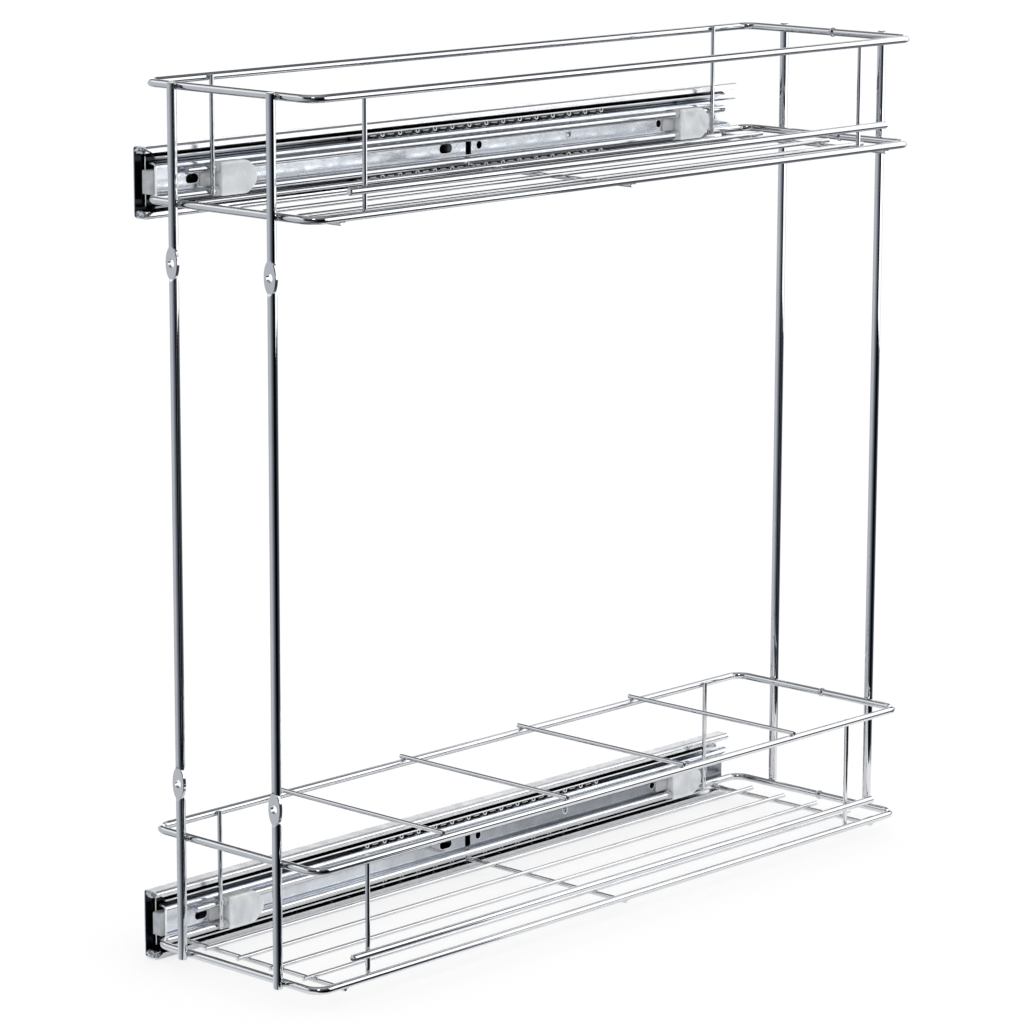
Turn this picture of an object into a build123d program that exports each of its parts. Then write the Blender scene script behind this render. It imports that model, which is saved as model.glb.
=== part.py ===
from build123d import *
import math
import os

# Pull-out bottle rack: two wire baskets on four posts, carried on the left side by two
# telescopic ball-bearing slides. Millimetres, +Z up. -Y is the front (the rack pulls out
# towards -Y), -X is the cabinet wall, +X the open side.
# Rack coordinates used below: X = 0 is the rack's centre plane, Y = 0 the middle of its depth,
# Z = 0 the centre of the lower basket's base loop. At export everything moves to the part's
# frame, whose origin is the centre of the four outer wall-screw holes on the wall plane.

# ---------------------------------------------------------------- driving dimensions
POST_D = 6.0            # posts
RIM_D = 5.0             # rims, base loops, guard and carrier wires
THIN_D = 3.0            # uprights, floor wires, cross wires, dividers
WELD = 0.3              # how deep crossing wires sink into each other at a weld

POST_X = 43.5           # posts at +-X
POST_Y = 290.0          # posts at +-Y
POST_Z0 = -3.0          # posts' lower end
POST_Z1 = 550.5         # front posts' upper end
REAR_Z1 = 551.3         # rear posts' upper end
LOOP_X = 73.5           # long sides of the rims and base loops
LOOP_R = 10.0           # corner radius of the loops, at the wire's centre
UPPER_Z = 476.0         # upper basket's base loop above the lower one
RIM_H_UP = 72.0         # upper rim above its base loop
RIM_H_LOW = 76.0        # lower basket's rim above its base loop
GUARD_H = 15.0          # guard and carrier wires above the base loop
GUARD_Y = (-255.0, 258.0)
CARRIER_Y = (-252.0, 260.0)
UPRIGHT_Y_LEFT = (-233.0, 243.5)
UPRIGHT_Y_RIGHT = (-238.0, 233.0)
FLOOR_X = (-45.0, -15.0, 15.0, 45.0)
FLOOR_Y = (-270.0, 269.0)
CROSS_X = (-74.0, 72.5)
CROSS_Y = (-260.0, 0.0, 260.0)
DIVIDER_X = (-77.0, 75.5)
DIVIDER_Y = (-176.0, -61.0, 54.0, 169.0)

LUG_Z = (112.0, 440.0)  # flattened lugs on the front posts
LUG_W = 10.4
LUG_L = 21.4
LUG_T = 2.2
LUG_INSET = 0.7         # lug face behind the post's foremost line
LUG_HOLE_D = 5.5

RAIL_L = 560.0          # cabinet rail's length
RAIL_H = 45.0           # cabinet rail's height
RAIL_T = 12.7           # cabinet rail's depth from the wall
RAIL_C = 8.9            # rail centre above the base loop
WEB_U = 13.0            # rack rail's outer face from the wall
WIRE_GAP = 1.5          # carrier wire's surface from the rack rail's face
MID_Y = (-272.8, 267.0)
INNER_Y = (-273.0, 279.3)
INNER_WEB_END = 272.3   # the rack rail's web ends here, its arms run on as two tips
OUTER_CAGE_Y = (-138.0, 138.0)
INNER_CAGE_Y = (-97.0, 144.0)
OUTER_BALL_D = 3.8
INNER_BALL_D = 3.5
OUTER_BALL_U = 7.6      # ball rows from the wall
INNER_BALL_U = 8.4
BALL_PITCH = 16.3
WALL_HOLE_D = 4.6
WALL_HOLE_FROM_FRONT = (37.0, 261.0, 517.0)   # 37 mm and steps of 32 mm
CLIP_Z = 21.2           # clip height
CLIP_FRONT_Y = (-229.0, -195.0)
CLIP_REAR_Y = (206.5, 240.5)
CLIP_T = 8.5            # clip's thickness on the rack rail
CLIP_NOTCH = 3.7        # how far its sleeves on the wires stand out of its front wall
SLEEVE_D = 6.2
TONGUE_T = 1.4

WALL_X = -(LOOP_X + RIM_D / 2 + WIRE_GAP + WEB_U)          # wall plane in rack coordinates
RAIL_Y0 = -RAIL_L / 2
HOLE_MID_Y = RAIL_Y0 + (WALL_HOLE_FROM_FRONT[0] + WALL_HOLE_FROM_FRONT[-1]) / 2
OFFSET = Vector(-WALL_X, -HOLE_MID_Y, -(UPPER_Z / 2 + RAIL_C))

os.makedirs("parts", exist_ok=True)


def save(name, shapes):
    """One file per piece, moved from rack coordinates to the part's frame."""
    if not isinstance(shapes, (list, tuple)):
        shapes = [shapes]
    solids = [s for shape in shapes for s in shape.solids()]
    moved = [s.moved(Location(OFFSET)) for s in solids]
    out = moved[0] if len(moved) == 1 else Compound(children=moved)
    out.label = name
    export_step(out, os.path.join("parts", name + ".step"))


def rod(p0, p1, d, end=0.35):
    """A straight wire from p0 to p1 with slightly broken ends."""
    p0, p1 = Vector(*p0), Vector(*p1)
    axis = p1 - p0
    shape = Cylinder(d / 2, axis.length, align=(Align.CENTER, Align.CENTER, Align.MIN))
    if end:
        rims = shape.edges().filter_by(GeomType.CIRCLE)
        shape = chamfer(rims, end)
    return Location(Plane(origin=p0, z_dir=axis.normalized())) * shape


def closed_loop(x, y, z, r, d):
    """A closed rectangular wire loop with round corners, centre line at +-x, +-y."""
    parts = []
    for s in (-1, 1):
        parts.append(rod((s * x, -(y - r), z), (s * x, y - r, z), d, 0))
        parts.append(rod((-(x - r), s * y, z), (x - r, s * y, z), d, 0))
    for sx, sy, a0 in ((1, 1, 0), (-1, 1, 90), (-1, -1, 180), (1, -1, 270)):
        section = Location(Plane(origin=(r, 0, 0), x_dir=(1, 0, 0), z_dir=(0, 1, 0))) * Circle(d / 2)
        bend = revolve(section, Axis.Z, revolution_arc=90)
        parts.append(Location((sx * (x - r), sy * (y - r), z), (0, 0, a0)) * bend)
    shape = parts[0]
    return shape.fuse(*parts[1:]).solids()[0]


def rounded_polygon(points, radii):
    """Face in the XZ plane from (x, z) points, each corner with its own radius."""
    n = len(points)
    pts = [Vector(p[0], 0, p[1]) for p in points]
    legs = []
    for i in range(n):
        a, b, c = pts[i - 1], pts[i], pts[(i + 1) % n]
        r = radii[i]
        if r <= 0:
            legs.append((b, None, b))
            continue
        u, v = (a - b).normalized(), (c - b).normalized()
        half = math.acos(max(-1.0, min(1.0, u.dot(v)))) / 2
        cut = r / math.tan(half)
        mid_dir = (u + v).normalized()
        centre = b + mid_dir * (r / math.sin(half))
        legs.append((b + u * cut, centre - mid_dir * r, b + v * cut))
    edges = []
    for i in range(n):
        start, mid, stop = legs[i]
        if mid is not None:
            edges.append(ThreePointArc(start, mid, stop))
        nxt = legs[(i + 1) % n][0]
        if (nxt - stop).length > 1e-6:
            edges.append(Line(stop, nxt))
    return make_face(Wire(edges))


def channel_outline(line, t, r):
    """Outline of a bent strip: centre line points (x, z), thickness t, centre-line bend radius r."""
    h = t / 2
    n = len(line)
    pts = [Vector(p[0], p[1], 0) for p in line]

    def normal(a, b):
        d = (b - a).normalized()
        return Vector(-d.Y, d.X, 0)

    left, right, lr, rr = [], [], [], []
    for i in range(n):
        if i == 0:
            m = normal(pts[0], pts[1])
            left.append(pts[0] + m * h)
            right.append(pts[0] - m * h)
            lr.append(0)
            rr.append(0)
        elif i == n - 1:
            m = normal(pts[-2], pts[-1])
            left.append(pts[-1] + m * h)
            right.append(pts[-1] - m * h)
            lr.append(0)
            rr.append(0)
        else:
            m0, m1 = normal(pts[i - 1], pts[i]), normal(pts[i], pts[i + 1])
            k = (m0 + m1) * (1.0 / (1.0 + m0.dot(m1)))
            left.append(pts[i] + k * h)
            right.append(pts[i] - k * h)
            d0 = pts[i] - pts[i - 1]
            turn = d0.X * (pts[i + 1] - pts[i]).Y - d0.Y * (pts[i + 1] - pts[i]).X
            rad = r[i - 1] if isinstance(r, (list, tuple)) else r
            if turn > 0:      # turning left: the left side is the inside
                lr.append(max(rad - h, 0.15))
                rr.append(rad + h)
            else:
                lr.append(rad + h)
                rr.append(max(rad - h, 0.15))
    outline = [(p.X, p.Y) for p in left] + [(p.X, p.Y) for p in reversed(right)]
    return outline, lr + rr[::-1]


def strip(line, t, r, y0, y1, zc):
    """A bent strip section (u from the wall, z about the rail's centre) run from y0 to y1."""
    outline, radii = channel_outline(line, t, r)
    face = rounded_polygon(outline, radii)
    solid = extrude(face, amount=y1 - y0, dir=(0, 1, 0))
    return Location((WALL_X, y0, zc)) * solid


def x_hole(u0, u1, y, z, d):
    """A round cutter along X between u0 and u1 from the wall."""
    c = Cylinder(d / 2, u1 - u0, align=(Align.CENTER, Align.CENTER, Align.MIN))
    return Location((WALL_X + u0, y, z), (0, 90, 0)) * c


def x_slot(u0, u1, y, z, length, width):
    """A slotted cutter along X, its length along Y."""
    s = Location(Plane(origin=(WALL_X + u0, y, z), x_dir=(0, 1, 0), z_dir=(1, 0, 0))) * SlotOverall(length, width)
    return extrude(s, amount=u1 - u0, dir=(1, 0, 0))


def x_prism(u0, u1, points):
    """A prism along X from (y, z) corner points."""
    pts = [Vector(WALL_X + u0, y, z) for y, z in points]
    face = make_face(Wire([Line(pts[i], pts[(i + 1) % len(pts)]) for i in range(len(pts))]))
    return extrude(face, amount=u1 - u0, dir=(1, 0, 0))


def x_block(u0, u1, y0, y1, z0, z1):
    return Location((WALL_X + (u0 + u1) / 2, (y0 + y1) / 2, (z0 + z1) / 2)) * Box(u1 - u0, y1 - y0, z1 - z0)


# ---------------------------------------------------------------- posts
def plain_post(sx):
    return rod((sx * POST_X, POST_Y, POST_Z0), (sx * POST_X, POST_Y, REAR_Z1), POST_D, 0.6)


def lug_post(sx):
    """Front post: pressed flat into an oval lug with a screw hole at two heights."""
    x, y = sx * POST_X, -POST_Y
    post = rod((x, y, POST_Z0), (x, y, POST_Z1), POST_D, 0.6)
    front = y - POST_D / 2 + LUG_INSET
    back = front + LUG_T
    for z in LUG_Z:
        h = LUG_L / 2
        # the round wire is pressed flat: cut its rear and its front away, with sloped shoulders
        rear = [(back, z - h + 2.0), (back, z + h - 2.0), (y + POST_D, z + h + 5.5), (y + POST_D, z - h - 5.5)]
        fore = [(front, z - h + 1.0), (front, z + h - 1.0), (y - POST_D, z + h + 7.0), (y - POST_D, z - h - 7.0)]
        for side in (rear, fore):
            wedge = make_face(Wire([Line(Vector(x - 4, *side[i]), Vector(x - 4, *side[(i + 1) % 4])) for i in range(4)]))
            post = post - extrude(wedge, amount=8, dir=(1, 0, 0))
        plate = Location(Plane(origin=(x, back, z), x_dir=(1, 0, 0), z_dir=(0, -1, 0))) * Ellipse(LUG_W / 2, h)
        plate = extrude(plate, amount=LUG_T, dir=(0, -1, 0))
        plate = fillet(plate.edges().group_by(Axis.Y)[0], 0.5)
        post = post + plate
        hole = Location((x, front - 1, z), (-90, 0, 0)) * Cylinder(LUG_HOLE_D / 2, LUG_T + 2, align=(Align.CENTER, Align.CENTER, Align.MIN))
        post = post - hole
    return post


save("front_left_post", lug_post(-1))
save("front_right_post", lug_post(1))
save("rear_left_post", plain_post(-1))
save("rear_right_post", plain_post(1))

# ---------------------------------------------------------------- baskets
LOOP_Y = POST_Y - POST_D / 2 - RIM_D / 2 + WELD            # front and rear sides of the loops
UPRIGHT_X = LOOP_X - RIM_D / 2 - THIN_D / 2 + WELD
CROSS_DZ = -(RIM_D / 2 + THIN_D / 2 - WELD)
FLOOR_DZ = CROSS_DZ + THIN_D - WELD

for basket, z, rim_h in (("upper_basket", UPPER_Z, RIM_H_UP), ("lower_basket", 0.0, RIM_H_LOW)):
    save(basket + "_rim", closed_loop(LOOP_X, LOOP_Y, z + rim_h, LOOP_R, RIM_D))
    save(basket + "_base_loop", closed_loop(LOOP_X, LOOP_Y, z, LOOP_R, RIM_D))
    save(basket + "_guard_wire", rod((LOOP_X, GUARD_Y[0], z + GUARD_H), (LOOP_X, GUARD_Y[1], z + GUARD_H), RIM_D, 0.6))
    save(basket + "_carrier_wire", rod((-LOOP_X, CARRIER_Y[0], z + GUARD_H), (-LOOP_X, CARRIER_Y[1], z + GUARD_H), RIM_D, 0.6))
    uprights = [rod((-UPRIGHT_X, y, z - 1.4), (-UPRIGHT_X, y, z + rim_h + 1.8), THIN_D) for y in UPRIGHT_Y_LEFT]
    uprights += [rod((UPRIGHT_X, y, z - 1.4), (UPRIGHT_X, y, z + rim_h + 1.4), THIN_D) for y in UPRIGHT_Y_RIGHT]
    save(basket + "_uprights", uprights)
    save(basket + "_floor_wires", [rod((x, FLOOR_Y[0], z + FLOOR_DZ), (x, FLOOR_Y[1], z + FLOOR_DZ), THIN_D) for x in FLOOR_X])
    save(basket + "_cross_wires", [rod((CROSS_X[0], y, z + CROSS_DZ), (CROSS_X[1], y, z + CROSS_DZ), THIN_D) for y in CROSS_Y])

DIVIDER_Z = RIM_H_LOW + RIM_D / 2 + THIN_D / 2 - WELD
save("lower_basket_dividers", [rod((DIVIDER_X[0], y, DIVIDER_Z), (DIVIDER_X[1], y, DIVIDER_Z), THIN_D) for y in DIVIDER_Y])

# ---------------------------------------------------------------- slides
# sections, u from the wall and z about the rail's centre
H = RAIL_H / 2
LIP_Z = 18.5            # lower edge of the cabinet rail's lips
OUTER_T = 1.2
OUTER_LINE = [(RAIL_T - OUTER_T / 2, LIP_Z), (RAIL_T - OUTER_T / 2, H - OUTER_T / 2), (OUTER_T / 2, H - OUTER_T / 2),
              (OUTER_T / 2, -(H - OUTER_T / 2)), (RAIL_T - OUTER_T / 2, -(H - OUTER_T / 2)), (RAIL_T - OUTER_T / 2, -LIP_Z)]
MID_T = 1.0
MID_LINE = [(12.2, 15.4), (9.2, 16.75), (2.9, 16.0), (2.9, -16.0), (9.2, -16.75), (12.2, -15.4)]
INNER_T = 1.2
INNER_ARM = 11.5        # arm's centre line
INNER_LINE = [(6.5, INNER_ARM), (WEB_U - INNER_T / 2, INNER_ARM), (WEB_U - INNER_T / 2, -INNER_ARM), (6.5, -INNER_ARM)]
OUTER_ROW = 19.2        # ball rows' height about the centre
INNER_ROW = 14.1
CAGE_T = 0.7
OUTER_CAGE_LINE = [(10.2, OUTER_ROW), (1.8, OUTER_ROW), (1.8, -OUTER_ROW), (10.2, -OUTER_ROW)]
INNER_CAGE_LINE = [(10.6, INNER_ROW), (4.05, INNER_ROW), (4.05, -INNER_ROW), (10.6, -INNER_ROW)]


def ball(u, y, z, d):
    return Location((WALL_X + u, y, z)) * Sphere(d / 2)


def ball_rows(y0, y1, count, u, row, zc, d):
    mid = (y0 + y1) / 2
    ys = [mid + (i - (count - 1) / 2) * BALL_PITCH for i in range(count)]
    return ys, [ball(u, y, zc + s * row, d) for s in (1, -1) for y in ys]


OUTER_BALL_N = 16
INNER_BALL_N = 15
RIVET_D = 4.0
RIVET_DY = 8.0
OBLONG_Y = -243.0
WEB_HOLES = ((15.0, 5.5), (195.5, 5.5), (253.0, 5.5))

for slide, zb in (("upper_slide", UPPER_Z), ("lower_slide", 0.0)):
    zc = zb + RAIL_C

    # cabinet rail: C section with inward lips, wall-screw holes and staked race ends
    rail = strip(OUTER_LINE, OUTER_T, [1.6, 2.0, 2.0, 1.6], RAIL_Y0, RAIL_Y0 + RAIL_L, zc)
    for f in WALL_HOLE_FROM_FRONT:
        rail = rail - x_hole(-1, OUTER_T + 1, RAIL_Y0 + f, zc, WALL_HOLE_D)
    for f in (69.0, 357.0, 453.0):
        rail = rail - x_slot(-1, OUTER_T + 1, RAIL_Y0 + f, zc, 12.0, 4.6)
    stakes = []
    for s in (1, -1):
        for y0, y1 in ((RAIL_Y0 + 0.3, RAIL_Y0 + 4.6), (RAIL_Y0 + RAIL_L - 4.6, RAIL_Y0 + RAIL_L - 0.3)):
            z0, z1 = sorted((zc + s * 17.9, zc + s * (H - 0.6)))
            stake = x_block(OUTER_T - 0.5, 10.4, y0, y1, z0, z1)
            stakes.append(fillet(stake.edges(), 0.5))
    rail = rail.fuse(*stakes)
    # the lips' ends are cut at a slant
    for s in (1, -1):
        for a, b in (((RAIL_Y0, 20.9), (RAIL_Y0 + 4.8, LIP_Z)), ((RAIL_Y0 + RAIL_L, 19.8), (RAIL_Y0 + RAIL_L - 2.4, LIP_Z))):
            out = -2 if a[0] < 0 else 2
            rail = rail - x_prism(11.0, 14.0, [(a[0] + out, zc + s * a[1]), (a[0], zc + s * a[1]), (b[0], zc + s * b[1]), (b[0], zc + s * (b[1] - 2)), (a[0] + out, zc + s * (b[1] - 2))])
    save(slide + "_cabinet_rail", rail)

    # middle rail: C section, arms with a lip bent inwards; windows in line with the wall screws
    mid = strip(MID_LINE, MID_T, [1.6, 1.5, 1.5, 1.6], MID_Y[0], MID_Y[1], zc)
    for f in WALL_HOLE_FROM_FRONT:
        mid = mid - x_slot(1.5, 4.5, RAIL_Y0 + f, zc, 18.0, 11.0)
    save(slide + "_middle_rail", mid)

    # rack rail: C section open to the wall, web with the punched holes seen between the wires
    inner = strip(INNER_LINE, INNER_T, [2.6, 2.6], INNER_Y[0], INNER_Y[1], zc)
    inner = inner - x_slot(10, 14, OBLONG_Y, zc, 11.0, 6.0)
    inner = inner - x_slot(10, 14, -17.0, zc, 12.0, 6.4)
    inner = inner - x_block(10, 14, 2.0, 7.2, zc - 5.6, zc + 5.6)
    for y, d in WEB_HOLES:
        inner = inner - x_hole(10, 14, y, zc, d)
    dimple = Location((WALL_X + WEB_U + 1.6, 103.0, zc)) * Sphere(2.6)
    inner = inner - dimple
    notch = x_prism(5.0, 14.0, [(INNER_WEB_END, zc - 8.4), (INNER_Y[1] + 0.5, zc - 10.35), (INNER_Y[1] + 0.5, zc + 10.35), (INNER_WEB_END, zc + 8.4)])
    notch = fillet(notch.edges().filter_by(Axis.X).group_by(Axis.Y)[0], 1.6)
    inner = inner - notch
    rivet_ys = [m + s * RIVET_DY for m in ((CLIP_FRONT_Y[0] + CLIP_FRONT_Y[1]) / 2, (CLIP_REAR_Y[0] + CLIP_REAR_Y[1]) / 2) for s in (-1, 1)]
    for y in rivet_ys:
        inner = inner - x_hole(10, 14, y, zc, RIVET_D)
    save(slide + "_rack_rail", inner)

    # ball cages: thin C strips with a pocket for each ball
    ys, balls = ball_rows(OUTER_CAGE_Y[0], OUTER_CAGE_Y[1], OUTER_BALL_N, OUTER_BALL_U, OUTER_ROW, zc, OUTER_BALL_D)
    cage = strip(OUTER_CAGE_LINE, 0.6, [0.8, 0.8], OUTER_CAGE_Y[0], OUTER_CAGE_Y[1], zc)
    for y in ys:
        cutter = Location((WALL_X + OUTER_BALL_U, y, zc)) * Cylinder(OUTER_BALL_D / 2 + 0.2, 42)
        cage = cage - cutter
    for y in (-90.0, 0.0, 90.0):
        cage = cage - x_slot(1, 3, y, zc, 60.0, 22.0)
    save(slide + "_outer_ball_cage", cage)
    save(slide + "_outer_balls", balls)

    ys, balls = ball_rows(INNER_CAGE_Y[0], INNER_CAGE_Y[1], INNER_BALL_N, INNER_BALL_U, INNER_ROW, zc, INNER_BALL_D)
    cage = strip(INNER_CAGE_LINE, CAGE_T, [0.8, 0.8], INNER_CAGE_Y[0], INNER_CAGE_Y[1], zc)
    for y in ys:
        cutter = Location((WALL_X + INNER_BALL_U, y, zc)) * Cylinder(INNER_BALL_D / 2 + 0.2, 32)
        mouth = x_block(INNER_BALL_U, 12.5, y - 1.4, y + 1.4, zc - 16, zc + 16)
        cage = cage - cutter - mouth
    cage_mid = (INNER_CAGE_Y[0] + INNER_CAGE_Y[1]) / 2
    for dy in (-78.0, 0.0, 78.0):
        cage = cage - x_slot(3, 5, cage_mid + dy, zc, 54.0, 16.0)
    save(slide + "_inner_ball_cage", cage)
    save(slide + "_inner_balls", balls)

    # grey bumper block in the rack rail's front end, with a round detent nub towards the wall
    bumper = x_block(4.7, 11.5, -277.0, -261.0, zc - 7.5, zc + 7.5)
    bumper = fillet(bumper.edges().filter_by(Axis.X), 0.9)
    bumper = bumper + x_hole(4.1, 5.2, -272.0, zc + 3.0, 4.0)
    bumper = bumper + x_block(10.0, WEB_U - INNER_T, -270.0, -264.0, zc - 4.0, zc + 4.0)
    save(slide + "_front_bumper", bumper)

    # clips: a block on the rack rail round both left wires, rounded at its rear end; at its front
    # a short sleeve stands out round each wire and a thin tongue runs on along the rail
    zk = zb + GUARD_H / 2
    for clip_name, (c0, c1) in (("front_clip", CLIP_FRONT_Y), ("rear_clip", CLIP_REAR_Y)):
        z0, z1 = zk - CLIP_Z / 2, zk + CLIP_Z / 2
        cb = c0 + CLIP_NOTCH
        outline = [(cb, z0), (cb, z1), (c1 - 8.0, z1), (c1, z1 - 6.5), (c1, z0 + 6.5), (c1 - 8.0, z0)]
        face = make_face(Wire([Line(Vector(WALL_X + WEB_U, *outline[i]), Vector(WALL_X + WEB_U, *outline[(i + 1) % 6])) for i in range(6)]))
        block = extrude(face, amount=CLIP_T, dir=(1, 0, 0))
        corners = block.edges().filter_by(Axis.X).sort_by(Axis.Y)
        block = fillet(corners[:2], 1.6)
        corners = block.edges().filter_by(Axis.X).sort_by(Axis.Y)
        block = fillet(corners[-4:], 7.0)
        block = fillet(block.faces().sort_by(Axis.X)[-1].edges(), 1.1)
        for z in (zb, zb + GUARD_H):
            block = block + rod((-LOOP_X, c0, z), (-LOOP_X, cb + 2.0, z), SLEEVE_D, 0.4)
        tongue = x_block(WEB_U, WEB_U + TONGUE_T, c0 - 8.0, cb + 1.0, zk - 4.2, zk + 4.2)
        tongue = fillet(tongue.edges().filter_by(Axis.X).group_by(Axis.Y)[0], 1.5)
        block = block + tongue
        for z in (zb, zb + GUARD_H):
            bore = rod((-LOOP_X, c0 - 20.0, z), (-LOOP_X, c1 + 20.0, z), RIM_D, 0)
            block = block - bore
        for y in ((c0 + c1) / 2 - RIVET_DY, (c0 + c1) / 2 + RIVET_DY):
            block = block - x_hole(WEB_U - 1, WEB_U + 3.0, y, zc, RIVET_D)
        block = block - Location((WALL_X + WEB_U + CLIP_T + 0.5, c1 - 7.0, zk - 0.8)) * Sphere(0.9)
        save(slide + "_" + clip_name, block)

    rivets = []
    for y in rivet_ys:
        shank = x_hole(WEB_U - INNER_T - 0.2, WEB_U + 3.0, y, zc, RIVET_D)
        head = x_hole(WEB_U - INNER_T - 1.6, WEB_U - INNER_T, y, zc, 7.0)
        head = fillet(head.edges().filter_by(GeomType.CIRCLE).sort_by(Axis.X)[0], 0.9)
        rivets.append(shank + head)
    save(slide + "_clip_rivets", rivets)
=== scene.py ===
import math

import bmesh
import bpy
from mathutils import Matrix, Vector, noise


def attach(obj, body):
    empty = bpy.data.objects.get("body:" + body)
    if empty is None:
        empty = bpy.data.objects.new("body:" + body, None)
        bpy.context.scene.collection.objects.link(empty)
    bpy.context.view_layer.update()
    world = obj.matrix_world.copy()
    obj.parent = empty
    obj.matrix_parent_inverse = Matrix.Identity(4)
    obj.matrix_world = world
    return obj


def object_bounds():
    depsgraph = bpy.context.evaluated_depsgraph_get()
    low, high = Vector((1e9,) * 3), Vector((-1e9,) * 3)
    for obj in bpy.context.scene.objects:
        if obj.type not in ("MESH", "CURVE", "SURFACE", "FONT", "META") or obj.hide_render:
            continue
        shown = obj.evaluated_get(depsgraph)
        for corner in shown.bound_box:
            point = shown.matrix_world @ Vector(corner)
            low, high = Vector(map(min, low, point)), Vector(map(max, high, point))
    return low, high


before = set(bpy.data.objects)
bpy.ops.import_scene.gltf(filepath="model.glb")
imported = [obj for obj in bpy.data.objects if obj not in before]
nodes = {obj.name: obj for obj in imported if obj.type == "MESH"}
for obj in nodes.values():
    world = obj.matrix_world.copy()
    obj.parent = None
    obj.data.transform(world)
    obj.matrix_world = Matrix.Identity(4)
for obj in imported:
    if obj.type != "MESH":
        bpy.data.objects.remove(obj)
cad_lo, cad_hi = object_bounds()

scene = bpy.context.scene
scene.view_settings.view_transform = "Standard"
scene.view_settings.look = "None"

# ------------------------------------------------------------------ places, in metres
# rack coordinates are millimetres from the rack's centre plane, mid-depth and lower base loop
OFF = Vector((90.5, 3.0, -246.9))


def R(x, y, z):
    return (Vector((x, y, z)) + OFF) * 0.001


UPPER, LOWER = 476.0, 0.0
RIM = {UPPER: 72.0, LOWER: 76.0}
LOOP_X, LOOP_Y = 73.5, 284.8
UPR_X = 69.8
UPR_LEFT, UPR_RIGHT = (-233.0, 243.5), (-238.0, 233.0)
FLOOR_X = (-45.0, -15.0, 15.0, 45.0)
CROSS_Y = (-260.0, 0.0, 260.0)
DIV_Y = (-176.0, -61.0, 54.0, 169.0)
POST_X, POST_Y = 43.5, 290.0
SLIDE_Z = 0.238                      # the slides' centre lines lie this far above and below the origin


# ------------------------------------------------------------------ node-tree helpers
class Tree:
    def __init__(self, name):
        self.mat = bpy.data.materials.new(name)
        self.mat.use_nodes = True
        self.t = self.mat.node_tree
        self.t.nodes.clear()
        self.out = self.t.nodes.new("ShaderNodeOutputMaterial")
        self.b = self.t.nodes.new("ShaderNodeBsdfPrincipled")
        self.link(self.b.outputs[0], self.out.inputs[0])

    def link(self, a, b):
        self.t.links.new(a, b)

    def new(self, kind, **props):
        n = self.t.nodes.new(kind)
        for k, v in props.items():
            setattr(n, k, v)
        return n

    def coords(self):
        return self.new("ShaderNodeTexCoord").outputs["Object"]

    def mapping(self, vec, scale):
        m = self.new("ShaderNodeMapping")
        m.inputs["Scale"].default_value = scale
        self.link(vec, m.inputs["Vector"])
        return m.outputs[0]

    def noise(self, vec, scale, detail=4.0, rough=0.5, distortion=0.0):
        n = self.new("ShaderNodeTexNoise")
        n.inputs["Scale"].default_value = scale
        n.inputs["Detail"].default_value = detail
        n.inputs["Roughness"].default_value = rough
        n.inputs["Distortion"].default_value = distortion
        self.link(vec, n.inputs["Vector"])
        return n.outputs["Fac"]

    def ramp(self, fac, stops, interp="LINEAR"):
        r = self.new("ShaderNodeValToRGB")
        r.color_ramp.interpolation = interp
        el = r.color_ramp.elements
        while len(el) > 1:
            el.remove(el[0])
        el[0].position, el[0].color = stops[0][0], tuple(stops[0][1]) + (1,)
        for p, c in stops[1:]:
            e = el.new(p)
            e.color = tuple(c) + (1,)
        self.link(fac, r.inputs[0])
        return r.outputs[0]

    def grey(self, fac, stops):
        return self.ramp(fac, [(p, (v, v, v)) for p, v in stops])

    def math(self, op, a, b=None, c=None):
        m = self.new("ShaderNodeMath", operation=op)
        for i, v in enumerate((a, b, c)):
            if v is None:
                continue
            if hasattr(v, "is_output"):
                self.link(v, m.inputs[i])
            else:
                m.inputs[i].default_value = v
        return m.outputs[0]

    def mix(self, fac, a, b):
        m = self.new("ShaderNodeMix", data_type="RGBA")
        for sock, v in ((m.inputs[0], fac), (m.inputs[6], a), (m.inputs[7], b)):
            if hasattr(v, "is_output"):
                self.link(v, sock)
            else:
                sock.default_value = v if isinstance(v, float) else tuple(v) + (1,)
        return m.outputs[2]

    def fade(self, value, lo, hi):
        """0 at lo, 1 at hi, smooth between; lo may be the larger."""
        m = self.new("ShaderNodeMapRange", interpolation_type="SMOOTHSTEP")
        m.inputs["From Min"].default_value = lo
        m.inputs["From Max"].default_value = hi
        self.link(value, m.inputs["Value"])
        return m.outputs[0]

    def bump(self, height, strength, distance, normal=None):
        n = self.new("ShaderNodeBump")
        n.inputs["Strength"].default_value = strength
        n.inputs["Distance"].default_value = distance
        self.link(height, n.inputs["Height"])
        if normal is not None:
            self.link(normal, n.inputs["Normal"])
        return n.outputs[0]


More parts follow.
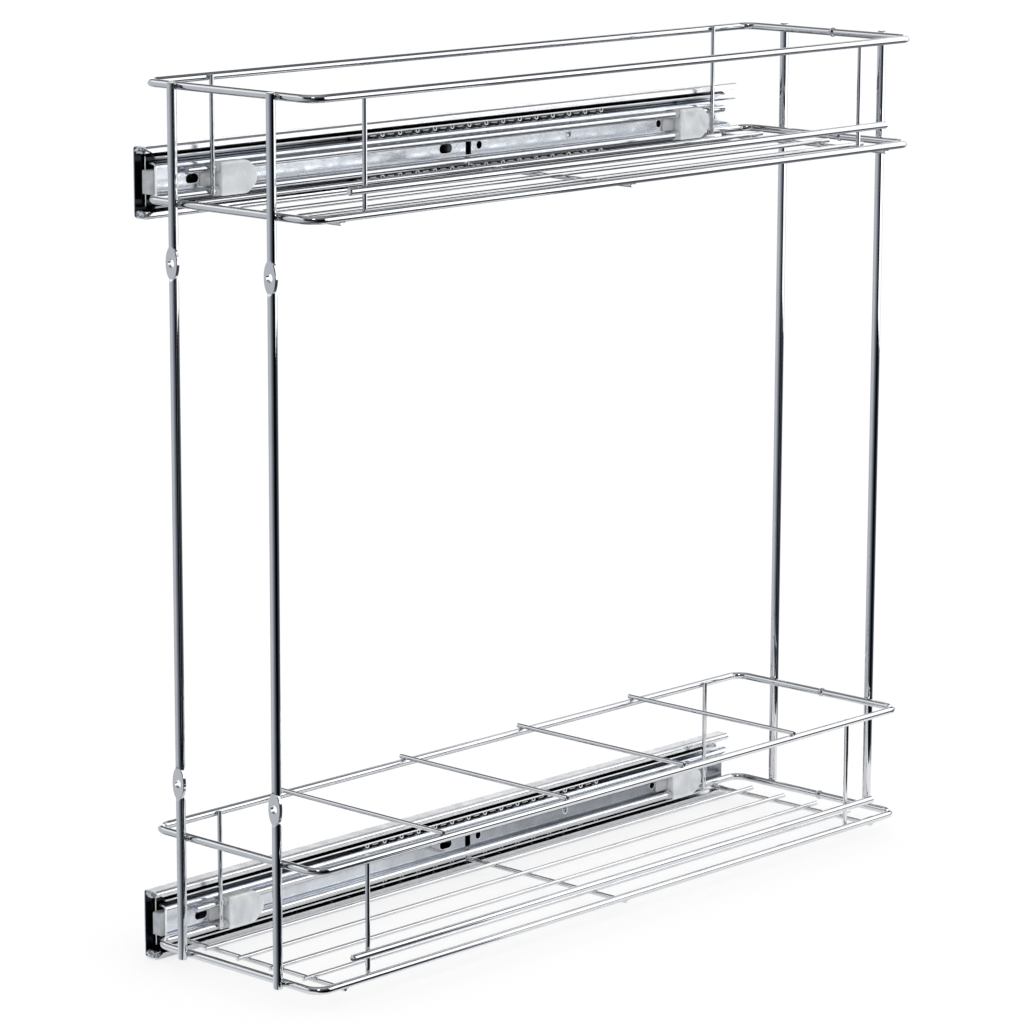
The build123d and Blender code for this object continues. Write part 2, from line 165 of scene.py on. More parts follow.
def chrome(name, along, tint=(0.80, 0.81, 0.83), rough=(0.02, 0.08), wave=0.00004, seed=0.0):
    """Bright chrome over drawn steel wire: faint drawing lines along the wire, a soft swell, haze and tiny pits."""
    k = Tree(name)
    co = k.coords()
    off = k.new("ShaderNodeVectorMath", operation="ADD")
    off.inputs[1].default_value = (seed, seed * 0.7, seed * 1.3)
    k.link(co, off.inputs[0])
    co = off.outputs[0]
    stretch = [1.0, 1.0, 1.0]
    stretch["XYZ".index(along)] = 0.02
    lines = k.noise(k.mapping(co, stretch), 2600.0, 3.0, 0.6)
    haze = k.noise(co, 55.0, 5.0, 0.6)
    spots = k.noise(co, 900.0, 2.0, 0.5)
    swell = k.noise(co, 40.0, 2.0, 0.5)
    colour = k.mix(k.grey(haze, [(0.35, 0.0), (0.75, 1.0)]), tint, tuple(c * 0.93 for c in tint))
    colour = k.mix(k.grey(spots, [(0.70, 0.0), (0.78, 0.35)]), colour, (0.42, 0.42, 0.43))
    k.link(colour, k.b.inputs["Base Color"])
    k.b.inputs["Metallic"].default_value = 1.0
    r = k.grey(haze, [(0.30, rough[0]), (0.62, (rough[0] + rough[1]) * 0.45), (0.85, rough[1])])
    r = k.math("ADD", r, k.math("MULTIPLY", lines, 0.03))
    k.link(r, k.b.inputs["Roughness"])
    n = k.bump(swell, 0.35, wave)
    n = k.bump(lines, 0.25, 0.000004, n)
    n = k.bump(spots, 0.15, 0.00001, n)
    k.link(n, k.b.inputs["Normal"])
    return k.mat


def zinc(name, tint=(0.74, 0.76, 0.79), rough=(0.10, 0.20), along="Y", channel_shade=None, smear=0.5, cloudy=0.14, metal=1.0, web=False, dents=0.0):
    """Bright zinc on rolled strip: rolling lines along the rail, blotchy passivation and smears.
    grease=(x, h, share): painted shade, a dark film on the faces less than x from the wall and less than h from a
    slide's centre line, all of it in the ball tracks and a share of it on the web between them, near black at the
    rail's front end.
    web=True: painted reflection, the lower rail's web is painted darker towards the rear.
    dents: depth of the crumples in torn metal, in metres."""
    k = Tree(name)
    co = k.coords()
    stretch = [1.0, 1.0, 1.0]
    stretch["XYZ".index(along)] = 0.012
    lines = k.noise(k.mapping(co, stretch), 1500.0, 4.0, 0.65)
    stretch["XYZ".index(along)] = 0.10
    streak = k.noise(k.mapping(co, stretch), 160.0, 4.0, 0.6)
    blotch = k.noise(co, 70.0, 6.0, 0.65, 0.4)
    grain = k.noise(co, 2600.0, 2.0, 0.5)
    cloud = k.grey(blotch, [(0.36, 0.0), (0.62, 1.0)])
    colour = k.mix(cloud, tint, tuple(c * (1 - cloudy) for c in tint))
    colour = k.mix(k.grey(streak, [(0.45, 0.0), (0.8, smear)]), colour, (0.85, 0.885, 0.94))
    r = k.grey(blotch, [(0.32, rough[0]), (0.60, rough[1]), (0.8, rough[1] * 1.15)])
    r = k.math("ADD", r, k.math("MULTIPLY", lines, 0.06))
    if channel_shade or web:
        sep = k.new("ShaderNodeSeparateXYZ")
        k.link(co, sep.inputs[0])
        off = k.math("ABSOLUTE", k.math("SUBTRACT", k.math("ABSOLUTE", sep.outputs[2]), SLIDE_Z))
    # painted reflection: on the lower slide the web near its centre line is painted darker towards the rear
    if web:
        flat = k.math("MULTIPLY", k.fade(off, 0.0094, 0.0080), k.math("LESS_THAN", sep.outputs[2], 0.0))
        rear_shade = k.grey(k.math("MULTIPLY_ADD", sep.outputs[1], 1.0, 0.5), [(0.38, 0.0), (0.42, 0.11), (0.47, 0.33), (0.52, 0.52), (0.57, 0.66), (0.67, 0.72), (0.71, 0.79)])
        colour = k.mix(k.math("MULTIPLY", k.math("MULTIPLY", flat, rear_shade), k.grey(streak, [(0.3, 1.0), (0.75, 0.86)])), colour, (0.095, 0.105, 0.125))
    # painted shade in the channels: the film darkens the faces near the wall and inside the ball tracks, where shade
    # falls
    if channel_shade:
        shade_film = k.math("MULTIPLY", k.fade(sep.outputs[0], channel_shade[0] + 0.0006, channel_shade[0] - 0.0006), k.fade(off, channel_shade[1] + 0.0002, channel_shade[1] - 0.0002))
        shade_film = k.math("MULTIPLY", shade_film, k.fade(sep.outputs[0], 0.0004, 0.0009))
        ends = k.fade(sep.outputs[1], -0.2400, -0.2640)
        deep_shade = k.math("MULTIPLY", shade_film, ends)
        if channel_shade[2] < 1.0:
            shade_film = k.math("MULTIPLY", shade_film, k.math("MULTIPLY_ADD", k.fade(off, 0.0130, 0.0155), 1.0 - channel_shade[2], channel_shade[2]))
        shade_film = k.math("MULTIPLY", shade_film, k.grey(streak, [(0.2, 1.0), (0.75, 0.80)]))
        shade_film = k.math("MAXIMUM", k.math("MULTIPLY", shade_film, k.fade(sep.outputs[1], 0.2720, 0.2520)), deep_shade)
        run = k.math("MULTIPLY", k.fade(sep.outputs[1], -0.165, -0.125), k.fade(sep.outputs[1], 0.185, 0.150))
        # the painted shade's colours: near black at the front end, dark in the middle of the rail, paler between
        colour = k.mix(shade_film, colour, k.mix(ends, k.mix(run, (0.20, 0.225, 0.27), (0.045, 0.048, 0.055)), (0.022, 0.025, 0.030)))
    k.link(colour, k.b.inputs["Base Color"])
    k.b.inputs["Metallic"].default_value = metal
    k.link(r, k.b.inputs["Roughness"])
    n = k.bump(lines, 0.25, 0.000008)
    n = k.bump(blotch, 0.18, 0.00006, n)
    n = k.bump(grain, 0.08, 0.00001, n)
    if dents:
        spots = k.grey(k.noise(co, 430.0, 3.0, 0.6, 0.8), [(0.44, 0.0), (0.56, 0.85)])
        k.link(k.mix(spots, colour, (0.16, 0.19, 0.24)), k.b.inputs["Base Color"])
        n = k.bump(k.noise(co, 620.0, 2.0, 0.55, 1.2), 1.0, dents, n)
    k.link(n, k.b.inputs["Normal"])
    return k.mat


def milky(name):
    """Milky unfilled nylon: cloudy white, soft skin texture, flow marks."""
    k = Tree(name)
    co = k.coords()
    cloud = k.noise(co, 75.0, 4.0, 0.55, 0.8)
    skin = k.noise(co, 1800.0, 3.0, 0.55)
    colour = k.mix(k.grey(cloud, [(0.35, 0.0), (0.7, 1.0)]), (0.77, 0.79, 0.815), (0.575, 0.60, 0.635))
    k.link(colour, k.b.inputs["Base Color"])
    k.link(k.grey(cloud, [(0.3, 0.38), (0.7, 0.52)]), k.b.inputs["Roughness"])
    k.b.inputs["Subsurface Weight"].default_value = 0.9
    k.b.inputs["Subsurface Radius"].default_value = (1.0, 1.0, 1.0)
    k.b.inputs["Subsurface Scale"].default_value = 0.008
    k.b.inputs["IOR"].default_value = 1.50
    n = k.bump(skin, 0.25, 0.00003)
    n = k.bump(cloud, 0.2, 0.0001, n)
    k.link(n, k.b.inputs["Normal"])
    return k.mat


def moulded(name, light, dark, rough=0.5):
    k = Tree(name)
    co = k.coords()
    cloud = k.noise(co, 300.0, 3.0, 0.5)
    skin = k.noise(co, 3000.0, 2.0, 0.55)
    k.link(k.mix(k.grey(cloud, [(0.3, 0.0), (0.7, 1.0)]), light, dark), k.b.inputs["Base Color"])
    k.link(k.grey(cloud, [(0.3, rough - 0.08), (0.7, rough + 0.08)]), k.b.inputs["Roughness"])
    k.link(k.bump(skin, 0.3, 0.00003), k.b.inputs["Normal"])
    return k.mat


M = {
    "wire_y": chrome("chrome_wire_lengthwise", "Y"),
    "wire_x": chrome("chrome_wire_crosswise", "X", seed=3.1),
    "wire_z": chrome("chrome_wire_upright", "Z", tint=(0.78, 0.79, 0.81), rough=(0.01, 0.05), seed=7.7, wave=0.00003),
    "weld": chrome("chrome_over_weld", "Z", tint=(0.64, 0.65, 0.67), rough=(0.08, 0.22), wave=0.00012, seed=1.9),
    # grease: painted shade inside the slides' channels on the cabinet rail, the middle rail and the cage; the cage's
    # darker tint is painted shade as well
    "cabinet_rail": zinc("zinc_cabinet_rail", tint=(0.88, 0.89, 0.91), rough=(0.15, 0.24), channel_shade=(0.0095, 0.0216, 0.25), smear=0.3, cloudy=0.07),
    "middle_rail": zinc("zinc_middle_rail", tint=(0.80, 0.81, 0.83), rough=(0.07, 0.14), channel_shade=(0.0118, 0.0250, 1.0)),
    "rack_rail": zinc("zinc_rack_rail", tint=(0.84, 0.88, 0.94), rough=(0.08, 0.16), smear=0.8, cloudy=0.16, metal=0.94, web=True),
    # the rolled edge is real; its pale, half-metal finish is a painted highlight that makes it read as a bright line
    "rolled_edge": zinc("zinc_rolled_edge", tint=(0.95, 0.96, 0.97), rough=(0.12, 0.22), smear=0.2, cloudy=0.06, metal=0.60),
    # painted highlight: near white and almost without metal, so that the cage's pockets, the cut ends and the rail's
    # edges and rims read bright
    "pressed_edge": zinc("zinc_edge_painted_highlight", tint=(0.96, 0.97, 0.99), rough=(0.20, 0.35), smear=0.2, cloudy=0.04, metal=0.06),
    "crumpled": zinc("zinc_crumpled_end", tint=(0.92, 0.95, 0.99), rough=(0.05, 0.12), smear=0.2, cloudy=0.12, metal=0.85, dents=0.0009),
    "cage": zinc("zinc_cage", tint=(0.55, 0.57, 0.60), rough=(0.12, 0.25), channel_shade=(0.0125, 0.0250, 1.0)),
    "ball": chrome("steel_ball", "Z", tint=(0.82, 0.82, 0.83), rough=(0.03, 0.08), wave=0.000002, seed=5.0),
    # painted shade: the outer balls are painted near black, as dark as the shaded gap they run in
    "ball_painted_dark": chrome("steel_ball_painted_dark", "Z", tint=(0.10, 0.11, 0.12), rough=(0.10, 0.22), wave=0.000002, seed=6.0),
    "rivet": zinc("zinc_rivet", tint=(0.66, 0.67, 0.70), rough=(0.25, 0.40)),
    "clip": milky("milky_nylon"),
    "bumper": moulded("grey_moulding", (0.435, 0.465, 0.49), (0.36, 0.385, 0.41)),
}


def material_for(name):
    if "_slide_" in name:
        if name.endswith("outer_balls"):
            return "ball_painted_dark"
        for word in ("clip_rivets", "clip", "bumper", "balls", "cage"):
            if name.endswith(word):
                return {"clip_rivets": "rivet", "clip": "clip", "bumper": "bumper", "balls": "ball", "cage": "cage"}[word]
        return name.split("_slide_")[1]
    if name.endswith("post") or name.endswith("uprights"):
        return "wire_z"
    if name.endswith("cross_wires") or name.endswith("dividers"):
        return "wire_x"
    return "wire_y"


for name, o in nodes.items():
    mat = M[material_for(name)]
    if not o.material_slots:
        o.data.materials.append(mat)
    for s in o.material_slots:
        s.material = mat

# ------------------------------------------------------------------ welds, all on the rack
def lump(bm, centre, radii, seed, rough=0.16, twist=0.0):
    """A lumpy bead of weld metal, radii in mm along x, y, z, put into bm."""
    made = bmesh.ops.create_icosphere(bm, subdivisions=3, radius=1.0)
    spin = Matrix.Rotation(twist, 3, "Z")
    for v in made["verts"]:
        d = v.co.normalized()
        k = 1.0 + rough * noise.noise(d * 1.7 + Vector((seed, seed * 0.37, -seed))) + rough * 0.5 * noise.noise(d * 4.1 + Vector((-seed, seed, 0.5)))
        v.co = R(*(Vector(centre) + spin @ Vector((d.x * radii[0] * k, d.y * radii[1] * k, d.z * radii[2] * k))))


def piece(name, fill, mat, body="rack"):
    bm = bmesh.new()
    fill(bm)
    for f in bm.faces:
        f.smooth = True
    bmesh.ops.recalc_face_normals(bm, faces=bm.faces)
    me = bpy.data.meshes.new(name)
    bm.to_mesh(me)
    bm.free()
    o = bpy.data.objects.new(name, me)
    scene.collection.objects.link(o)
    me.materials.append(mat)
    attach(o, body)
    return o


def post_welds(bm):
    # a bead in each gap between a post and the loop bent past it, on both sides of the post
    i = 0
    for sy in (-1, 1):
        for sx in (-1, 1):
            for z in (LOWER, LOWER + RIM[LOWER], UPPER, UPPER + RIM[UPPER]):
                for side in (-1, 1):
                    i += 1
                    grow = 1.0 + 0.25 * noise.noise(Vector((i * 1.31, 0.2, 0.7)))
                    lump(bm, (sx * POST_X + side * 2.7, sy * 287.3, z + 0.4 * noise.noise(Vector((i, 0, 0)))),
                         (2.1 * grow, 1.25, 1.6 * grow), i * 0.73, 0.25)


def upright_welds(bm):
    i = 100
    for sx, ys in ((-1, UPR_LEFT), (1, UPR_RIGHT)):
        for y in ys:
            for z0 in (LOWER, UPPER):
                for z in (z0, z0 + 15.0, z0 + RIM[z0]):
                    for side in (-1, 1):
                        i += 1
                        grow = 1.0 + 0.25 * noise.noise(Vector((i * 1.31, 0.2, 0.7)))
                        lump(bm, (sx * (UPR_X + 1.45), y + side * 1.15, z), (0.85, 1.0 * grow, 1.35 * grow), i * 0.73, 0.30)


def floor_welds(bm):
    i = 400
    for z0 in (LOWER, UPPER):
        for y in CROSS_Y:
            for x in FLOOR_X:
                for side in (-1, 1):
                    i += 1
                    lump(bm, (x + side * 1.05, y, z0 - 2.35), (0.95, 1.25, 0.70), i * 0.73, 0.25)
            for sx in (-1, 1):
                for side in (-1, 1):
                    i += 1
                    lump(bm, (sx * 72.6, y + side * 1.05, z0 - 2.45), (1.6, 0.95, 0.75), i * 0.73, 0.25)


def divider_welds(bm):
    i = 700
    for y in DIV_Y:
        for sx in (-1, 1):
            for side in (-1, 1):
                i += 1
                lump(bm, (sx * LOOP_X, y + side * 1.05, RIM[LOWER] + 2.40), (1.6, 0.95, 0.80), i * 0.73, 0.25)


def butt_welds(bm):
    """The loops are closed at the rear: the upset ring left by butt welding the wire's ends."""
    for n, (z, x) in enumerate(((UPPER + RIM[UPPER], 4.5), (UPPER, 12.0), (LOWER + RIM[LOWER], 5.5), (LOWER, 5.0))):
        rings = []
        for dx, r in ((-2.3, 2.42), (-1.6, 2.60), (-1.0, 2.95), (-0.35, 3.22), (0.35, 3.20), (1.0, 2.90), (1.7, 2.58), (2.4, 2.42)):
            ring = []
            for k in range(28):
                t = k * math.tau / 28
                q = r + (r - 2.42) * 0.55 * noise.noise(Vector((math.cos(t) * 1.3 + n * 5, math.sin(t) * 1.3, dx * 0.4)))
                ring.append(bm.verts.new(R(x + dx, LOOP_Y + q * math.cos(t), min(z + q * math.sin(t), UPPER + RIM[UPPER] + 3.2))))
            rings.append(ring)
        for a0, a1 in zip(rings, rings[1:]):
            for k in range(28):
                bm.faces.new((a0[k], a0[(k + 1) % 28], a1[(k + 1) % 28], a1[k]))
        bm.faces.new(list(reversed(rings[0])))
        bm.faces.new(rings[-1])


piece("post_weld_beads", post_welds, M["weld"])
piece("upright_weld_beads", upright_welds, M["weld"])
piece("floor_weld_beads", floor_welds, M["weld"])
piece("divider_weld_beads", divider_welds, M["weld"])
piece("butt_weld_rings", butt_welds, M["weld"])

# ------------------------------------------------------------------ small shapes on the slides
def S(u, y, z, zc):
    """Slide coordinates: u from the wall, z about the slide's centre line, in millimetres."""
    return Vector((u * 0.001, (y + 3.0) * 0.001, zc + z * 0.001))


def tube(bm, points, r, sides=10, wave=0.0, seed=0.0):
    """A round bar of radius r mm through points (metres), closed at both ends."""
    rings = []
    for i, q in enumerate(points):
        a0, a1 = points[max(i - 1, 0)], points[min(i + 1, len(points) - 1)]
        d = (a1 - a0).normalized()
        side = d.cross(Vector((1, 0, 0)))
        side = side.normalized() if side.length > 0.2 else d.cross(Vector((0, 0, 1))).normalized()
        top = side.cross(d)
        ring = []
        for k in range(sides):
            t = k * math.tau / sides
            k2 = r * (1 + wave * noise.noise(Vector((i * 0.9 + seed, math.cos(t), math.sin(t)))))
            ring.append(bm.verts.new(q + (side * math.cos(t) + top * math.sin(t)) * k2 * 0.001))
        rings.append(ring)
    for r0, r1 in zip(rings, rings[1:]):
        for k in range(sides):
            bm.faces.new((r0[k], r0[(k + 1) % sides], r1[(k + 1) % sides], r1[k]))
    bm.faces.new(list(reversed(rings[0])))
    bm.faces.new(rings[-1])


INNER_BALLS = [23.5 + (i - 7) * 16.3 for i in range(15)]
for slide, zc in (("upper", SLIDE_Z), ("lower", -SLIDE_Z)):
    def rolled(bm):
        # the middle rail's lips end in a rolled edge
        for sz in (-1, 1):
            tube(bm, [S(12.3, -272.5 + (539.2 * i / 60), sz * 15.45, zc) for i in range(61)], 0.58, 10, 0.12, sz * 3.0)

    def pockets(bm):
        # the cage's pressed pocket round each ball, a small U under the middle rail's lip, and a rib between pockets,
        # all near white: the U is a painted highlight that stands for each ball's glint
        for sz in (-1, 1):
            for n, y in enumerate(INNER_BALLS):
                arc = [S(11.3, y - 1.35, sz * 14.75, zc)]
                arc += [S(11.3 + 0.25 * math.sin(math.radians(t)), y - 1.35 * math.cos(math.radians(t)), sz * (13.75 - 1.10 * math.sin(math.radians(t))), zc) for t in range(0, 181, 20)]
                arc += [S(11.3, y + 1.35, sz * 14.75, zc)]
                tube(bm, arc, 0.40, 8, 0.3, n + sz)
                if n < 14:
                    tube(bm, [S(10.9, y + 8.15 + dy, sz * (13.5 + 0.12 * noise.noise(Vector((n, dy, sz)))), zc) for dy in (-2.6, -1.3, 0.0, 1.3, 2.6)], 0.27, 8, 0.3, n + 2 * sz)

    def inside(v):
        # within the cabinet rail's outline, and clear of the middle rail that runs out past it
        z = v.z - zc
        return Vector((min(max(v.x, 0.0004), 0.0124), v.y, zc + math.copysign(min(max(abs(z), 0.0176), 0.0224), z)))

    def crumples(bm):
        # the cabinet rail's ends are staked over so that the balls can't run out: torn, crumpled metal
        i = 900 if zc > 0 else 950
        for y, out in ((-279.5, 1), (279.5, -1)):
            for sz in (-1, 1):
                i += 1
                mid = S(5.7, y, sz * 19.9, zc)
                made = bmesh.ops.create_icosphere(bm, subdivisions=5, radius=1.0)
                for v in made["verts"]:
                    d = v.co.normalized()
                    at = d * 2.2 + Vector((i * 0.7, 0.3, i * 0.2))
                    q = 1.0 + 0.35 * noise.noise(at) + 0.22 * noise.noise(at * 2.3) + 0.12 * noise.noise(at * 5.1)
                    v.co = inside(mid + Vector((d.x * 4.6, d.y * 1.35, d.z * 2.1)) * q * 0.001)
                for u, dy, z, size in ((2.4, 1.2, 18.4, 0.7), (4.6, 1.5, 18.2, 0.8), (8.8, 1.2, 18.3, 0.7), (3.0, 3.2, 20.6, 1.2),
                                       (6.4, 3.8, 20.5, 1.4), (9.4, 2.6, 20.3, 1.3), (10.6, 5.6, 20.1, 1.1), (7.6, 6.4, 20.9, 0.9)):
                    i += 1
                    made = bmesh.ops.create_icosphere(bm, subdivisions=3, radius=1.0)
                    for v in made["verts"]:
                        d = v.co.normalized()
                        q = 1.0 + 0.55 * noise.noise(d * 1.6 + Vector((i * 0.7, 0.3, i * 0.2)))
                        v.co = inside(S(u, y + out * dy, sz * z, zc) + d * size * q * 0.001)

    def cut_ends(bm):
        # cut edges of the middle rail's web at both ends, painted white as glints
        for y in (-272.75, 266.95):
            for sz in (-1, 1):
                tube(bm, [S(2.9 + 0.10 * noise.noise(Vector((y, z * 0.6, sz))), y, sz * z, zc) for z in (6.0, 8.0, 10.0, 12.0, 14.0, 15.6)], 0.42, 8, 0.3, sz)

    def front_edge(bm):
        # the rack rail's deburred front edge
        tube(bm, [S(12.30, -272.75, z, zc) for z in (-9.4, -7.0, -4.0, 0.0, 4.0, 7.0, 9.4)], 0.78, 10, 0.10, 1.0)

    def hole_rims(bm):
        # the raised rims that punching leaves round the rack rail's holes
        for y, length, width in ((-243.0, 11.0, 6.0), (-17.0, 12.0, 6.4), (15.0, 5.5, 5.5), (195.5, 5.5, 5.5), (253.0, 5.5, 5.5)):
            r, half = width / 2 + 0.08, (length - width) / 2
            ring = []
            for k in range(48):
                t = k * math.tau / 48
                ring.append(S(12.93, y + half * (1 if math.cos(t) > 0 else -1) + r * math.cos(t), r * math.sin(t), zc))
            loops = []
            for n in range(48):
                d = (ring[(n + 1) % 48] - ring[n - 1]).normalized()
                side = d.cross(Vector((1, 0, 0)))
                loops.append([bm.verts.new(ring[n] + (side * math.cos(q * math.tau / 8) + Vector((1, 0, 0)) * math.sin(q * math.tau / 8)) * 0.00024) for q in range(8)])
            for n in range(48):
                r0, r1 = loops[n], loops[(n + 1) % 48]
                for q in range(8):
                    bm.faces.new((r0[q], r0[(q + 1) % 8], r1[(q + 1) % 8], r1[q]))

    def tab_edge(bm):
        # the raised edge of the half-moon tab pressed out of the rack rail's web
        arc = [S(13.05, 103.0 - 2.35, 1.9, zc)]
        arc += [S(13.10, 103.0 - 2.35 * math.cos(math.radians(t)), -2.5 * math.sin(math.radians(t)), zc) for t in range(0, 181, 15)]
        arc += [S(13.05, 103.0 + 2.35, 1.9, zc)]
        tube(bm, arc, 0.42, 10, 0.2, 4.0)

    # pieces in pressed_edge carry a painted highlight: near-white edges, rims, pockets and glints
    for name, fill, mat, body, kind in (("middle_rolled_edges", rolled, "rolled_edge", slide + "_middle", "zinc_rail"),
                                        ("middle_cut_ends", cut_ends, "pressed_edge", slide + "_middle", "zinc_rail"),
                                        ("ball_pockets", pockets, "pressed_edge", slide + "_inner_bearing", "cage_steel"),
                                        ("rack_rail_front_edge", front_edge, "pressed_edge", "rack", "zinc_rail"),
                                        ("rack_rail_tab_edge", tab_edge, "pressed_edge", "rack", "zinc_rail"),
                                        ("rack_rail_hole_rims", hole_rims, "pressed_edge", "rack", "zinc_rail"),
                                        ("staked_ends", crumples, "crumpled", "cabinet_side", "zinc_rail")):
        piece(slide + "_slide_" + name, fill, M[mat], body)

# ------------------------------------------------------------------ camera, at the photograph's viewing angle
a, e, roll = math.radians(43.253), math.radians(11.53), math.radians(0.18)
back = Vector((math.sin(a) * math.cos(e), -math.cos(a) * math.cos(e), math.sin(e)))
right = (-back).cross(Vector((0, 0, 1))).normalized()
up = right.cross(-back).normalized()
r2 = right * math.cos(roll) + up * math.sin(roll)
u2 = -right * math.sin(roll) + up * math.cos(roll)
cam_data = bpy.data.cameras.new("camera")
cam_data.sensor_width = 36.0
cam_data.lens = 147.93
cam_data.clip_start, cam_data.clip_end = 0.05, 50.0
cam = bpy.data.objects.new("camera", cam_data)
scene.collection.objects.link(cam)
cam.matrix_world = Matrix.Translation((1.9417, -1.9991, 0.5581)) @ Matrix((r2, u2, back)).transposed().to_4x4()
scene.camera = cam

# ------------------------------------------------------------------ floor
FLOOR_Z = cad_lo.z - 0.0003


def sheet(name, x0, x1, y0, y1, z, colour):
    me = bpy.data.meshes.new(name)
    me.from_pydata([(x0, y0, z), (x1, y0, z), (x1, y1, z), (x0, y1, z)], [], [(0, 1, 2, 3)])
    o = bpy.data.objects.new(name, me)
    scene.collection.objects.link(o)
    m = bpy.data.materials.new(name)
    m.use_nodes = True
    p = m.node_tree.nodes["Principled BSDF"]
    p.inputs["Base Color"].default_value = (colour, colour, colour, 1)
    p.inputs["Roughness"].default_value = 0.9
    p.inputs["Specular IOR Level"].default_value = 0.0
    me.materials.append(m)
    return o


floor = sheet("floor", -30, 30, -30, 30, FLOOR_Z, 0.28)
floor.visible_glossy = False
paint = floor.data.materials[0].node_tree.nodes["Principled BSDF"]
paint.inputs["Emission Color"].default_value = (1, 1, 1, 1)
paint.inputs["Emission Strength"].default_value = 0.71


def unseen(o):
    """Only the rack's gloss sees these."""
    o.visible_camera = o.visible_diffuse = o.visible_shadow = o.visible_transmission = False


# the white board under and behind the rack is all of the floor that the chrome mirrors
board = sheet("board", -0.03, 0.175, -0.31, 0.45, FLOOR_Z + 0.0001, 0.90)
board_side = sheet("board_side", 0.175, 0.30, -0.10, 0.45, FLOOR_Z + 0.0001, 0.90)
unseen(board)
unseen(board_side)

# a tall white wall behind the rack on its open side, a dimmer one high up behind it, and a brighter band low on the first
bm = bmesh.new()
for a0, a1, z0, z1, dim, reach in ((104.0, 180.0, -0.08, 1.14, 0, 1.30), (180.5, 222.0, 0.50, 1.14, 1, 1.30),
                                  (118.0, 134.9, 0.02, 0.145, 2, 1.28), (135.0, 142.0, 0.02, 0.145, 3, 1.28)):
    rows = []
    for i in range(25):
        t = math.radians(a0 + (a1 - a0) * i / 24)
        rows.append([bm.verts.new((0.09 + reach * math.sin(t), -reach * math.cos(t), z)) for z in (z0, z1)])
    for r0, r1 in zip(rows, rows[1:]):
        bm.faces.new((r0[0], r1[0], r1[1], r0[1])).material_index = dim
me = bpy.data.meshes.new("wall")
bm.to_mesh(me)
bm.free()
wall = bpy.data.objects.new("wall", me)
scene.collection.objects.link(wall)
for name, strength in (("wall", 1.40), ("wall_dim", 0.75), ("wall_bright", 2.60), ("wall_mid", 1.80)):
    glow = bpy.data.materials.new(name)
    glow.use_nodes = True
    glow.node_tree.nodes.clear()
    lit = glow.node_tree.nodes.new("ShaderNodeEmission")
    lit.inputs["Strength"].default_value = strength
    glow.node_tree.links.new(lit.outputs[0], glow.node_tree.nodes.new("ShaderNodeOutputMaterial").inputs[0])
    me.materials.append(glow)
unseen(wall)

# ------------------------------------------------------------------ soft studio light, in world directions
# azimuth 0 looks at the front of the rack, 90 at its open right side, 180 at its rear, 270 at the wall side
world = bpy.data.worlds.new("studio")
scene.world = world
world.use_nodes = True
w = Tree.__new__(Tree)
w.t = world.node_tree
w.t.nodes.clear()
direction = w.new("ShaderNodeTexCoord").outputs["Generated"]
sep = w.new("ShaderNodeSeparateXYZ")
w.link(direction, sep.inputs[0])
dx, dy, dz = sep.outputs
flat = w.math("SQRT", w.math("MAXIMUM", w.math("ADD", w.math("MULTIPLY", dx, dx), w.math("MULTIPLY", dy, dy)), 1e-6))


def smooth(v, lo, hi):
    m = w.new("ShaderNodeMapRange", interpolation_type="SMOOTHSTEP")
    m.inputs["From Min"].default_value = lo
    m.inputs["From Max"].default_value = hi
    w.link(v, m.inputs["Value"])
    return m.outputs[0]


def panel(az, half, soft, el0, el1, soft_el):
    """Mask of a soft-edged light or dark panel round the rack, angles in degrees."""
    r = math.radians
    c = w.math("DIVIDE", w.math("SUBTRACT", w.math("MULTIPLY", dx, math.sin(r(az))), w.math("MULTIPLY", dy, math.cos(r(az)))), flat)
    side = smooth(c, math.cos(r(min(half + soft, 179.0))), math.cos(r(max(half - soft, 0.0))))
    low = smooth(dz, math.sin(r(el0 - soft_el)), math.sin(r(el0 + soft_el)))
    high = smooth(dz, math.sin(r(el1 - soft_el)), math.sin(r(el1 + soft_el)))
    return w.math("MULTIPLY", side, w.math("SUBTRACT", low, high))


def grey(v, blue=0.0):
    return (v * (1 - blue), v * (1 - blue * 0.35), v * (1 + blue * 0.6))


height = w.math("MULTIPLY_ADD", dz, 0.5, 0.5)
light = w.ramp(height, [(0.0, grey(0.16)), (0.14, grey(0.13)), (0.30, grey(0.09, 0.1)), (0.42, grey(0.12, 0.1)), (0.55, grey(0.12, 0.1)),
                        (0.72, grey(0.07, 0.1)), (0.84, grey(0.12, 0.1)), (0.95, grey(0.35)), (1.0, grey(0.45))])
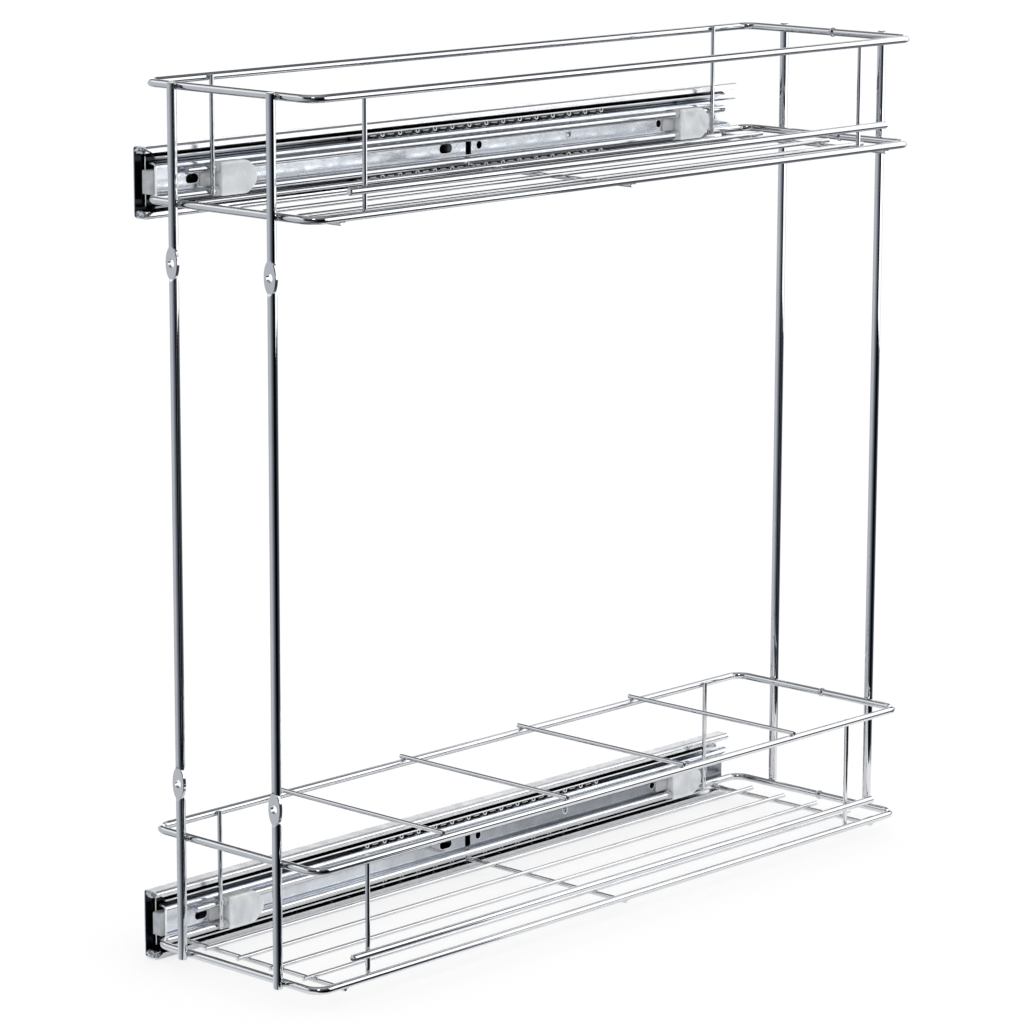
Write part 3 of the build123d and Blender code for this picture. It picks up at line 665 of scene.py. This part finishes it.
# the room at eye level, round the compass: dark on the camera's right, light grey on the wall side
compass = w.math("FRACT", w.math("ADD", w.math("DIVIDE", w.math("ARCTAN2", dx, w.math("MULTIPLY", dy, -1.0)), math.tau), 1.0))
around = w.ramp(compass, [(d / 360.0, grey(v, blue)) for d, v, blue in (
    (0, 0.44, 0.08), (10, 0.36, 0.1), (30, 0.17, 0.15), (53, 0.060, 0.2), (66, 0.008, 0.2), (80, 0.001, 0.2), (106, 0.002, 0.2), (118, 0.02, 0.2),
    (140, 0.07, 0.2), (165, 0.15, 0.1), (180, 0.26, 0.05), (212, 0.26, 0.05), (226, 0.50, 0.05), (240, 0.60, 0.05), (300, 0.60, 0.06), (340, 0.60, 0.08), (360, 0.44, 0.08))])
level = w.math("SUBTRACT", smooth(dz, math.sin(math.radians(-46)), math.sin(math.radians(-36))), smooth(dz, math.sin(math.radians(16)), math.sin(math.radians(27))))
light = w.mix(level, light, around)
for args, value in (
    ((305, 36, 10, 20, 42, 4), grey(1.05)),
    ((223, 28, 8, -4, 17, 4), grey(1.30)),
    ((24, 30, 8, -2, 40, 3), grey(0.03, 0.2)),
    ((48, 7, 3, 38, 50, 3), grey(6.0)),
):
    light = w.mix(panel(*args), light, value)
lamp = w.math("MULTIPLY_ADD", w.math("ADD", w.math("MULTIPLY", dx, 0.6), w.math("ADD", w.math("MULTIPLY", dy, 0.45), w.math("MULTIPLY", dz, 0.5))), 0.32, 0.98)

ray = w.new("ShaderNodeLightPath")
see, glossy, soft = (w.new("ShaderNodeBackground") for _ in range(3))
see.inputs[0].default_value = (1, 1, 1, 1)
w.link(light, glossy.inputs[0])
soft.inputs[0].default_value = (1, 1, 1, 1)
w.link(lamp, soft.inputs[1])
m1, m2 = w.new("ShaderNodeMixShader"), w.new("ShaderNodeMixShader")
w.link(ray.outputs["Is Diffuse Ray"], m1.inputs[0])
w.link(glossy.outputs[0], m1.inputs[1])
w.link(soft.outputs[0], m1.inputs[2])
w.link(ray.outputs["Is Camera Ray"], m2.inputs[0])
w.link(m1.outputs[0], m2.inputs[1])
w.link(see.outputs[0], m2.inputs[2])
w.link(m2.outputs[0], w.new("ShaderNodeOutputWorld").inputs[0])
